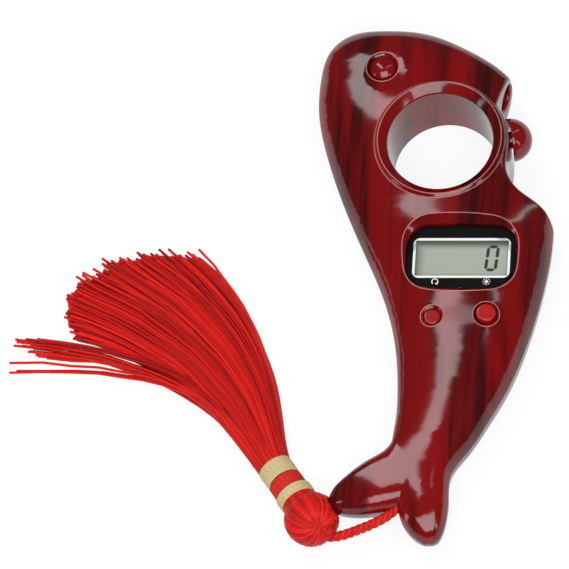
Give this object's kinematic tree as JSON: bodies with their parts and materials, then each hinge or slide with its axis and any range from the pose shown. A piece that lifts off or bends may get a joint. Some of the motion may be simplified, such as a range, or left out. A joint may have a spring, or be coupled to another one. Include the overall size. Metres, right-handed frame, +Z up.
{
  "type": "digital tasbih counter",
  "caption": "Fish-shaped digital prayer counter worn on a finger, with a ball count button, small display, push buttons, torch lamp, battery door and red tassel on a cord.",
  "frame": {"origin": "centre of the body's bounding box on the table, lying on its flat back", "axes": "+Y along the body towards the fish's head, +Z up out of the display, +X to the side of the count ball"},
  "size_m": [0.1008, 0.1084, 0.0153],
  "materials": {
    "case_gloss": "glossy deep red-brown moulded plastic with dark streaks",
    "lens_clear": "clear acrylic window, dark over its printed border",
    "mask_print": "printed film border",
    "lcd_glass": "grey-green liquid-crystal glass",
    "strip_rubber": "layered conductive rubber",
    "board_green": "green solder mask",
    "chip_black": "black potting resin",
    "switch_steel": "bright sheet steel",
    "plunger_black": "black moulded plastic",
    "button_red": "glossy bright red moulded plastic",
    "ball_gloss": "glossy deep red-brown moulded plastic",
    "contact_rubber": "carbon-loaded rubber pill",
    "led_clear": "water-clear epoxy",
    "eye_gloss": "glossy dark red-brown bead",
    "cell_steel": "nickel-plated steel can",
    "contact_brass": "plated spring brass",
    "screw_steel": "plated steel",
    "cord_red": "twisted red silk-like cord",
    "yarn_red": "red silk-like tassel yarn",
    "thread_gold": "wound gold thread"
  },
  "bodies": {
    "case": {"front_shell": "case_gloss", "rear_shell": "case_gloss", "display_lens": "lens_clear", "lens_mask": "mask_print", "lcd_panel": "lcd_glass", "contact_strips": "strip_rubber", "circuit_board": "board_green", "board_screws": "screw_steel", "chip_blob": "chip_black", "reset_switch": "switch_steel", "lamp_switch": "switch_steel", "count_contact": "contact_rubber", "torch_led": "led_clear", "eye_bead": "eye_gloss", "button_cell_upper": "cell_steel", "button_cell_lower": "cell_steel", "contact_positive": "contact_brass", "contact_negative": "contact_brass", "case_screws": "screw_steel", "tassel_cord": "cord_red", "cord_knot": "cord_red", "tassel_head": "yarn_red", "tassel_band_lower": "thread_gold", "tassel_band_middle": "yarn_red", "tassel_band_upper": "thread_gold", "tassel_skirt": "yarn_red"},
    "count_button": {"count_ball": "ball_gloss"},
    "reset_key": {"reset_button": "button_red", "reset_plunger": "plunger_black"},
    "lamp_key": {"lamp_button": "button_red", "lamp_plunger": "plunger_black"},
    "rear_door": {"battery_door": "case_gloss", "door_screw": "screw_steel", "contact_bridge": "contact_brass"}
  },
  "joints": [
    {"name": "count_press", "type": "slide", "parent": "case", "child": "count_button", "axis": [-0.9636, -0.2672, 0], "range_m": [0, 0.0004], "stiffness_N_per_m": 2000},
    {"name": "reset_press", "type": "slide", "parent": "case", "child": "reset_key", "axis": [0, 0, -1], "range_m": [0, 0.0005], "stiffness_N_per_m": 2000},
    {"name": "lamp_press", "type": "slide", "parent": "case", "child": "lamp_key", "axis": [0, 0, -1], "range_m": [0, 0.0005], "stiffness_N_per_m": 2000},
    {"name": "door_lift", "type": "slide", "parent": "case", "child": "rear_door", "axis": [0, 0, -1], "range_m": [0, 0.012]}
  ]
}
